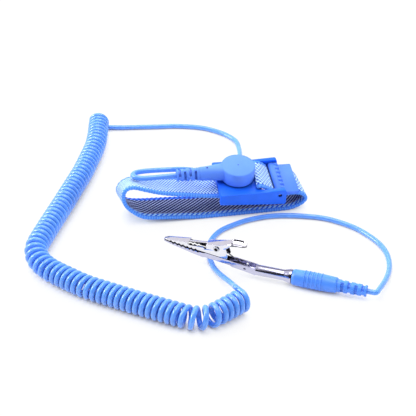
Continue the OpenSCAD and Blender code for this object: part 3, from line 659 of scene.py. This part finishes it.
def band_skin():
    sizes = bpy.context.scene.strap_sizes
    thick = sizes.webbing_thickness / MM
    front, back, along = even(*band_edges(), BAND_STEP)
    across = back - front
    across /= np.linalg.norm(across, axis=1)[:, None]

    def facing(edge):
        heading = np.gradient(edge, axis=0)
        out = np.cross(across, heading)
        return out / np.linalg.norm(out, axis=1)[:, None]

    face_front, face_back = facing(front), facing(back)
    # One section: (share across from the front edge, height over the middle, place across in millimetres, face)
    columns = np.linspace(-HALF_BAND + HEM, HALF_BAND - HEM, 41)
    rim = [(math.sin(t), math.cos(t)) for t in np.radians((30, 60, 90, 120, 150))]
    section = [(w, 1.0, w) for w in columns]
    section += [(HALF_BAND - HEM + HEM * s, c, HALF_BAND) for s, c in rim]
    section += [(w, -1.0, w) for w in columns[::-1]]
    section += [(-HALF_BAND + HEM - HEM * s, -c, -HALF_BAND) for s, c in rim]
    section.append(section[0])
    place = np.array([s[0] for s in section])
    height = np.array([s[1] for s in section])
    # Knitted relief: wales along the outer face, raised selvedges inside and scalloped edges
    wave = along[:, None] * 2 * math.pi / (sizes.scallop_pitch / MM)
    flat = np.abs(height) > 0.99
    wale = 0.05 * np.cos(place * 2 * math.pi / 1.35)[None] * np.ones_like(wave)
    course = 0.045 * np.sin(wave * 2 + place[None] * 2 * math.pi / 1.9)
    lift = np.where(flat[None], (wale + course) * np.sign(height)[None] - 0.06 * np.sign(height)[None], 0.0)
    selvedge = np.where((height < -0.99) & (np.abs(place) > 6.6), -0.05 - 0.07 * np.sin(wave + place[None] * 1.2), 0.0)
    edge = np.where(place > 0, 0.3 * np.cos(wave + 1.3) + 0.3, 0.12 * (np.cos(wave) - 1))
    scallop = np.where(np.abs(place) > HALF_BAND - 0.6, edge, 0.0)
    share = ((place + HALF_BAND) / (2 * HALF_BAND))[None, :, None]
    middle = front[:, None] * (1 - share) + back[:, None] * share
    face = face_front[:, None] * (1 - share) + face_back[:, None] * share
    face /= np.linalg.norm(face, axis=2)[:, :, None]
    up = height[None] * thick / 2 + lift + selvedge
    rings = middle + face * up[:, :, None] + across[:, None] * (scallop * np.sign(place)[None])[:, :, None]
    # The band stays on the table
    rings[:, :, 2] = np.maximum(rings[:, :, 2], 0.02)
    rings[:, -1] = rings[:, 0]
    around = np.array([s[2] for s in section])
    return rings, along, around


def rounded_copy(node, name, width, segments=2, angle=30, material="case_moulding", ridges=35, rides=True):
    """A copy of a CAD node with its seams merged and its edges rounded, which stands for the node."""
    source = frame["nodes"][node]
    bpy.ops.object.select_all(action="DESELECT")
    piece = bpy.data.objects.new(name, source.data.copy())
    piece.data.name = name
    bpy.context.scene.collection.objects.link(piece)
    bpy.context.view_layer.objects.active = piece
    piece.select_set(True)
    bpy.ops.object.mode_set(mode="EDIT")
    bpy.ops.mesh.select_all(action="SELECT")
    bpy.ops.mesh.remove_doubles(threshold=2e-6)
    bpy.ops.mesh.select_all(action="SELECT")
    bpy.ops.mesh.dissolve_limited(angle_limit=math.radians(1.5))
    bpy.ops.object.mode_set(mode="OBJECT")
    if width > 0:
        bevel = piece.modifiers.new("Rounding", "BEVEL")
        bevel.width = width
        bevel.segments = segments
        bevel.limit_method = "ANGLE"
        bevel.angle_limit = math.radians(angle)
        bevel.use_clamp_overlap = True
        bevel.miter_outer = "MITER_ARC"
        bpy.ops.object.modifier_apply(modifier="Rounding")
    bpy.ops.object.mode_set(mode="EDIT")
    bpy.ops.mesh.select_all(action="SELECT")
    bpy.ops.mesh.quads_convert_to_tris(quad_method="BEAUTY", ngon_method="BEAUTY")
    bpy.ops.object.mode_set(mode="OBJECT")
    bpy.ops.object.shade_smooth_by_angle(angle=math.radians(ridges))
    finish_with(piece, material)
    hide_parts(node)
    if rides:
        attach(piece, source["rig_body"])
    return piece


# ---- Operators ----


class STRAP_OT_camera(bpy.types.Operator):
    """Adds the camera at the usual three-quarter view from above"""
    bl_idname = "strap.camera"
    bl_label = "Camera"

    def execute(self, context):
        bpy.ops.object.camera_add(location=(-0.0914, -0.5073, 0.3540))
        camera = context.object
        camera.name = "Camera"
        direction = Vector((-0.002, 0, 0)) - camera.location
        camera.rotation_euler = direction.to_track_quat("-Z", "Y").to_euler()
        camera.data.lens = 104.9
        camera.data.sensor_width = 36
        camera.data.clip_start = 0.01
        context.scene.camera = camera
        return {"FINISHED"}


class STRAP_OT_curly_cord(bpy.types.Operator):
    """Lays the curly cord as one helix on its curved axis"""
    bl_idname = "strap.curly_cord"
    bl_label = "Curly cord"

    def execute(self, context):
        path = coil_path()[0]
        piece = tube("curly_cord_jacket", path, context.scene.strap_sizes.cord_diameter / MM / 2, 12)
        finish_with(piece, "cord_jacket")
        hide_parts("curly_cord")
        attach(piece, "wristband")
        return {"FINISHED"}


class STRAP_OT_leads(bpy.types.Operator):
    """Lays the head lead in two pieces, and the clip lead"""
    bl_idname = "strap.leads"
    bl_label = "Leads"

    def execute(self, context):
        loop, run, clip = lead_paths()
        radius = context.scene.strap_sizes.cord_diameter / MM / 2
        # The lead is laid in two pieces split at the loop's far turn: the first leg out of the boot, and the rest of
        # the loop with its run to the coil.
        turn = int(np.argmin(loop[:, 0]))
        leg = tube("head_loop_jacket", loop[:turn + 1], radius, 20)
        finish_with(leg, "cord_jacket")
        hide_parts("head_lead_loop")
        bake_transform(leg)
        onward = np.concatenate([loop[turn:], run[1:]])
        piece = tube("head_run_jacket", onward, radius, 20)
        finish_with(piece, "cord_jacket")
        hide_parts("head_lead_loop", "head_lead_run")
        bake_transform(piece)
        piece = tube("clip_lead_jacket", clip, radius, 20)
        finish_with(piece, "cord_jacket")
        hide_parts("clip_lead")
        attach(piece, "wristband")
        return {"FINISHED"}


class STRAP_OT_webbing(bpy.types.Operator):
    """Lays the elastic webbing with its knitted faces and scalloped edges"""
    bl_idname = "strap.webbing"
    bl_label = "Webbing"

    def execute(self, context):
        rings, along, around = band_skin()
        piece = lay_skin("webbing_band", rings, along, around)
        finish_with(piece, "webbing_outer", "webbing_inner", "webbing_edge")
        # Faces are told apart by their place in the section, which their UV keeps with the facing
        mesh = piece.data
        front, back, at = even(*band_edges(), BAND_STEP)
        middle = (front + back) / 2
        heading = np.gradient(middle, axis=0)
        out = np.cross(back - front, heading)
        out /= np.linalg.norm(out, axis=1)[:, None]
        uv = mesh.uv_layers[0].data
        for face in mesh.polygons:
            u = sum(uv[k].uv.x for k in face.loop_indices) / face.loop_total
            w = sum(uv[k].uv.y for k in face.loop_indices) / face.loop_total
            i = min(int(u / at[-1] * (len(at) - 1)), len(at) - 1)
            level = Vector(face.normal).dot(Vector(out[i]))
            face.material_index = 2 if abs(w) > HALF_BAND - 0.5 else 0 if level > 0 else 1
        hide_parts("elastic_band")
        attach(piece, "wristband")
        return {"FINISHED"}


class STRAP_OT_buckle(bpy.types.Operator):
    """Rounds the buckle frame, the clamp lever and their pin"""
    bl_idname = "strap.buckle"
    bl_label = "Buckle and lever"

    def execute(self, context):
        edge = context.scene.strap_sizes.moulded_edge
        rounded_copy("buckle_frame", "buckle_moulding", edge, 3)
        rounded_copy("clamp_lever", "lever_plate", edge * 0.6, 2, material="lit_lever_moulding")
        rounded_copy("lever_pin", "lever_pin_turned", 0.15 * MM, 2, material="brushed_steel")
        return {"FINISHED"}


class STRAP_OT_snap_head(bpy.types.Operator):
    """Rounds the snap head, its boot and its strain relief"""
    bl_idname = "strap.snap_head"
    bl_label = "Snap head"

    def execute(self, context):
        rounded_copy("head_shell", "head_moulding_shell", 0.25 * MM, 3, material="lit_head_moulding")
        rounded_copy("head_base", "head_base_disc", 0.2 * MM, 2, material="lit_head_moulding")
        rounded_copy("head_strain_relief", "head_relief_grip", 0.12 * MM, 2, material="lit_head_moulding")
        return {"FINISHED"}


class STRAP_OT_boot_cowl(bpy.types.Operator):
    """Fairs the boot into the snap head's top"""
    bl_idname = "strap.boot_cowl"
    bl_label = "Boot cowl"

    def execute(self, context):
        sections = []
        for i in range(25):
            t = i / 24
            u = -8.9 + 15.9 * t
            grow = t * t * (3 - 2 * t)
            half, top, low, square = 3.52 + 0.75 * grow, 3.52 + 0.5 * grow, 3.52 - 0.2 * grow, 2 + 1.2 * grow
            if i == 0:
                half, top, low = half - 0.2, top - 0.2, low - 0.2
            ring = []
            for k in range(40):
                a = 2 * math.pi * k / 40
                c, s = math.cos(a), math.sin(a)
                ring.append(in_buckle((u, half * math.copysign(abs(c) ** (2 / square), c),
                                       10.6 + (top if s > 0 else low) * math.copysign(abs(s) ** (2 / square), s))))
            sections.append(ring)
        piece = loft("head_boot_cowl", sections)
        finish_with(piece, "lit_head_moulding")
        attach(piece, "snap_head")
        # Round gate marks left by the mould, one on the boot and one on the disc
        for name, u, v, w, size in (("boot_gate_mark", -5.1, 0, 14.34, 0.45), ("head_gate_mark", 10.8, 0, 14.72, 0.34)):
            bpy.ops.object.select_all(action="DESELECT")
            bpy.ops.mesh.primitive_uv_sphere_add(segments=20, ring_count=10, radius=1)
            mark = context.object
            mark.name = mark.data.name = name
            for point in mark.data.vertices:
                x, y, z = point.co
                point.co = Vector(in_buckle((u + size * x, v + size * y, w + 0.07 * z))) * MM
            bpy.ops.object.shade_smooth_by_angle(angle=math.radians(60))
            finish_with(mark, "gate_mark")
            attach(mark, "snap_head")
        return {"FINISHED"}


class STRAP_OT_plug(bpy.types.Operator):
    """Rounds the banana plug's grip and its strain relief"""
    bl_idname = "strap.plug"
    bl_label = "Banana plug"

    def execute(self, context):
        rounded_copy("plug_body", "plug_grip_moulding", 0.15 * MM, 2, material="plug_grip")
        rounded_copy("plug_strain_relief", "plug_relief_grip", 0.12 * MM, 2, material="plug_grip")
        # Five raised grip rings between the moulded grooves
        rings = []
        for i in range(5):
            at = PLUG_AT + (6.25 + 2 * i) * PLUG_AXIS
            bpy.ops.object.select_all(action="DESELECT")
            bpy.ops.mesh.primitive_torus_add(
                major_segments=64, minor_segments=12, major_radius=4.0 * MM, minor_radius=0.28 * MM,
                location=tuple(at * MM), rotation=(0, math.radians(90), PLUG_TURN))
            bpy.ops.object.transform_apply(location=True, rotation=True, scale=True)
            bpy.ops.object.shade_smooth()
            rings.append(context.object)
        piece = join_into(rings[0], *rings[1:])
        piece.name = piece.data.name = "plug_grip_rings"
        bpy.ops.object.origin_set(type="ORIGIN_CURSOR", center="MEDIAN")
        finish_with(piece, "plug_grip")
        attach(piece, "wristband")
        return {"FINISHED"}


class STRAP_OT_clip(bpy.types.Operator):
    """Rounds the alligator clip's sheet metal"""
    bl_idname = "strap.clip"
    bl_label = "Alligator clip"

    def execute(self, context):
        edge = context.scene.strap_sizes.sheet_edge
        lower = rounded_copy("clip_lower_jaw", "lower_jaw_sheet", edge, 2, material="shaded_lower_plating", ridges=40)
        # Painted shade: the lower jaw's inward faces, its ears above the lip and the channel's floor take the dark
        # plating.
        shade_faces(lower, lambda s, y, h, inward, up: s > 31 and (
            inward > 0.3 or h > 7.6 + 0.09 * (s - 31.4) and 32 < s < 42 or up > 0.4 and s < 62.5))
        jaw = rounded_copy("clip_upper_jaw", "upper_jaw_sheet", edge, 2, material="nickel_plating", ridges=40)
        # The flat paddle makes way for a dished one
        along = in_jaw(1, 0, 0) - in_jaw(0, 0, 0)
        bpy.ops.object.select_all(action="DESELECT")
        jaw.select_set(True)
        context.view_layer.objects.active = jaw
        bpy.ops.object.mode_set(mode="EDIT")
        bpy.ops.mesh.select_all(action="SELECT")
        bpy.ops.mesh.bisect(
            plane_co=tuple(in_jaw(30.1, 0, 0) * MM), plane_no=tuple(along), use_fill=True, clear_inner=True)
        bpy.ops.object.mode_set(mode="OBJECT")
        bpy.ops.object.select_all(action="DESELECT")
        bpy.ops.mesh.primitive_grid_add(x_subdivisions=20, y_subdivisions=28, size=2, calc_uvs=True)
        paddle = context.object
        paddle.name = paddle.data.name = "thumb_paddle"
        for point in paddle.data.vertices:
            q, t = point.co.x, (point.co.y + 1) / 2
            s = 32.6 - 10 * t
            spread = 2.2 + 0.55 * min(1, t / 0.45) ** 2 * (3 - 2 * min(1, t / 0.45))
            if t > 0.62:
                spread *= math.sqrt(max(0.0, 1 - ((t - 0.62) / 0.38) ** 2.4)) * 0.97 + 0.03
            spine = np.interp(s, (22.6, 24, 26, 28, 30, 32.6), (15.6, 15.9, 15.95, 15.85, 15.7, 15.6))
            lip = 1.5 * q * q * min(1, t / 0.3) + 0.7 * max(0.0, (t - 0.8) / 0.2) ** 2 * (1 - q * q)
            point.co = Vector(in_jaw(s, spread * q, spine + lip)) * MM
        shell = paddle.modifiers.new("Sheet", "SOLIDIFY")
        shell.thickness, shell.offset = 0.45 * MM, 0
        soft = paddle.modifiers.new("Edge", "BEVEL")
        soft.width, soft.segments, soft.limit_method, soft.angle_limit = 0.12 * MM, 2, "ANGLE", math.radians(50)
        bpy.ops.object.modifier_apply(modifier="Sheet")
        bpy.ops.object.modifier_apply(modifier="Edge")
        bpy.ops.object.shade_smooth_by_angle(angle=math.radians(50))
        finish_with(paddle, "nickel_plating")
        # Painted shade and painted reflection: the paddle's underside is dark.
        shade_faces(paddle, lambda s, y, h, inward, up: up < 0)
        # Painted shade: the upper jaw's inward and downward faces and the inside of its window take the dark plating.
        shade_faces(jaw, lambda s, y, h, inward, up: inward > 0.3 or up < -0.4 or (
            42.5 < s < 51.5 and 10.6 < h < 12.8 and abs(inward) < 0.5 and y > 1.2))
        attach(paddle, "upper_jaw")
        # The spring is copied without rounding and stays on no body.
        spring = rounded_copy("clip_spring", "jaw_spring_wire", 0, material="spring_wire", rides=False)
        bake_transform(spring)
        rivet = rounded_copy("clip_rivet", "rivet_turned", edge, 2, material="turned_nickel")
        # Painted shade in the rivet's hollow.
        shade_faces(rivet, lambda s, y, h, inward, up: math.hypot(s - 37, h - 12.6) < 0.9)
        return {"FINISHED"}


class STRAP_OT_inner_parts(bpy.types.Operator):
    """Finishes the metal parts and the resistor that stay as they are"""
    bl_idname = "strap.inner_parts"
    bl_label = "Inner parts"

    def execute(self, context):
        nodes = frame["nodes"]
        for node, material in (
                ("snap_stud", "turned_nickel"), ("contact_plate", "brushed_steel"), ("snap_socket", "turned_nickel"),
                ("socket_spring", "spring_wire"), ("resistor_lead_in", "spring_wire"),
                ("resistor_lead_out", "spring_wire"), ("banana_pin", "gold_plating"), ("banana_spring", "gold_plating"),
                ("safety_resistor", "resistor_lacquer")):
            finish_with(nodes[node], material)
        return {"FINISHED"}


class STRAP_OT_stage(bpy.types.Operator):
    """Adds the pale floor and the soft studio light"""
    bl_idname = "strap.stage"
    bl_label = "Floor and light"

    def execute(self, context):
        bpy.ops.object.select_all(action="DESELECT")
        bpy.ops.mesh.primitive_plane_add(size=6, location=(0, 0, -0.00005))
        floor = context.object
        floor.name = "Floor"
        f = Finish("pale_floor")
        grain = f.noise(f.place(), 0.02, 2)
        diffuse = f.node("ShaderNodeBsdfDiffuse")
        f.put(diffuse.inputs["Color"], f.mix(grain, (0.86, 0.86, 0.87), (0.9, 0.9, 0.9)))
        glow = f.node("ShaderNodeEmission")
        glow.inputs["Strength"].default_value = 1.0
        blend = f.node("ShaderNodeMixShader")
        rays = f.node("ShaderNodeLightPath")
        seen = f.math("MAXIMUM", rays.outputs["Is Camera Ray"], rays.outputs["Is Glossy Ray"])
        # The floor's glow fades where things are close over it: a painted contact shadow, which lets the diffuse
        # floor's shade show.
        f.put(blend.inputs[0], f.math("MULTIPLY", f.math("MULTIPLY", seen, 0.9), f.span(f.recess(0.015), 0.1, 0.7)))
        f.put(blend.inputs[1], diffuse.outputs[0])
        f.put(blend.inputs[2], glow.outputs[0])
        f.put(f.output.inputs[0], blend.outputs[0])
        floor.data.materials.append(f.material)

        world = bpy.data.worlds.new("Studio")
        context.scene.world = world
        world.use_nodes = True
        tree = world.node_tree
        tree.nodes.clear()
        output = tree.nodes.new("ShaderNodeOutputWorld")
        paths = tree.nodes.new("ShaderNodeLightPath")
        ground = tree.nodes.new("ShaderNodeBackground")
        ground.inputs["Color"].default_value = (0.93, 0.96, 1, 1)
        ground.inputs["Strength"].default_value = 0.45
        # What polished metal shows: a white room, dark towards the front up to high overhead
        place = tree.nodes.new("ShaderNodeTexCoord")
        split = tree.nodes.new("ShaderNodeSeparateXYZ")
        front = tree.nodes.new("ShaderNodeMapRange")
        low = tree.nodes.new("ShaderNodeMapRange")
        for span, start, stop in ((front, 0.02, -0.16), (low, 0.93, 0.87)):
            span.inputs["From Min"].default_value, span.inputs["From Max"].default_value = start, stop
        both = tree.nodes.new("ShaderNodeMath")
        both.operation = "MULTIPLY"
        shade = tree.nodes.new("ShaderNodeMix")
        shade.data_type = "RGBA"
        shade.inputs[6].default_value, shade.inputs[7].default_value = (0.8, 0.77, 0.83, 1), (0.03, 0.03, 0.035, 1)
        room = tree.nodes.new("ShaderNodeBackground")
        room.inputs["Strength"].default_value = 1.0
        choose = tree.nodes.new("ShaderNodeMixShader")
        camera = tree.nodes.new("ShaderNodeMixShader")
        white = tree.nodes.new("ShaderNodeBackground")
        links = tree.links
        links.new(place.outputs["Generated"], split.inputs[0])
        links.new(split.outputs[1], front.inputs["Value"])
        links.new(split.outputs[2], low.inputs["Value"])
        links.new(front.outputs[0], both.inputs[0])
        links.new(low.outputs[0], both.inputs[1])
        links.new(both.outputs[0], shade.inputs[0])
        links.new(shade.outputs[2], room.inputs["Color"])
        links.new(paths.outputs["Is Glossy Ray"], choose.inputs[0])
        links.new(ground.outputs[0], choose.inputs[1])
        links.new(room.outputs[0], choose.inputs[2])
        links.new(paths.outputs["Is Camera Ray"], camera.inputs[0])
        links.new(choose.outputs[0], camera.inputs[1])
        links.new(white.outputs[0], camera.inputs[2])
        links.new(camera.outputs[0], output.inputs[0])

        for name, at, size, power, mirrored in (
                ("Key light", (-0.15, 0.0, 1.1), 0.9, 5.8, True), ("Back light", (0.1, 1.1, 0.78), 1.2, 22.0, False),
                ("Left light", (-1.0, 0.25, 0.55), 0.6, 9.0, True),
                ("Right fill", (0.95, -0.45, 0.45), 0.5, 3.6, False)):
            bpy.ops.object.light_add(type="AREA", location=at)
            lamp = context.object
            lamp.name = name
            lamp.data.shape = "DISK"
            lamp.data.size = size
            lamp.data.energy = power
            lamp.visible_glossy = mirrored
            lamp.rotation_euler = (-Vector(at)).to_track_quat("-Z", "Y").to_euler()
        context.scene.view_settings.view_transform = "Standard"
        return {"FINISHED"}


class STRAP_PT_panel(bpy.types.Panel):
    """Lists the strap's steps"""
    bl_idname = "STRAP_PT_panel"
    bl_label = "Wrist strap"
    bl_space_type = "VIEW_3D"
    bl_region_type = "UI"
    bl_category = "Wrist strap"

    def draw(self, context):
        for step in STEPS:
            self.layout.operator(step.bl_idname)
        for group in (context.scene.strap_sizes, context.scene.strap_colours):
            for name in group.__annotations__:
                self.layout.prop(group, name)


STEPS = (STRAP_OT_camera, STRAP_OT_curly_cord, STRAP_OT_leads, STRAP_OT_webbing, STRAP_OT_buckle, STRAP_OT_snap_head,
         STRAP_OT_boot_cowl, STRAP_OT_plug, STRAP_OT_clip, STRAP_OT_inner_parts, STRAP_OT_stage)
CLASSES = (StrapSizes, StrapColours, *STEPS, STRAP_PT_panel)


def register():
    for each in CLASSES:
        bpy.utils.register_class(each)
    bpy.types.Scene.strap_sizes = bpy.props.PointerProperty(type=StrapSizes)
    bpy.types.Scene.strap_colours = bpy.props.PointerProperty(type=StrapColours)


def unregister():
    del bpy.types.Scene.strap_sizes, bpy.types.Scene.strap_colours
    for each in reversed(CLASSES):
        bpy.utils.unregister_class(each)


def main():
    register()
    bpy.ops.strap.camera()
    bpy.ops.strap.curly_cord()
    bpy.ops.strap.leads()
    bpy.ops.strap.webbing()
    bpy.ops.strap.buckle()
    bpy.ops.strap.snap_head()
    bpy.ops.strap.boot_cowl()
    bpy.ops.strap.plug()
    bpy.ops.strap.clip()
    bpy.ops.strap.inner_parts()
    bpy.ops.strap.stage()


if __name__ == "__main__":
    main()
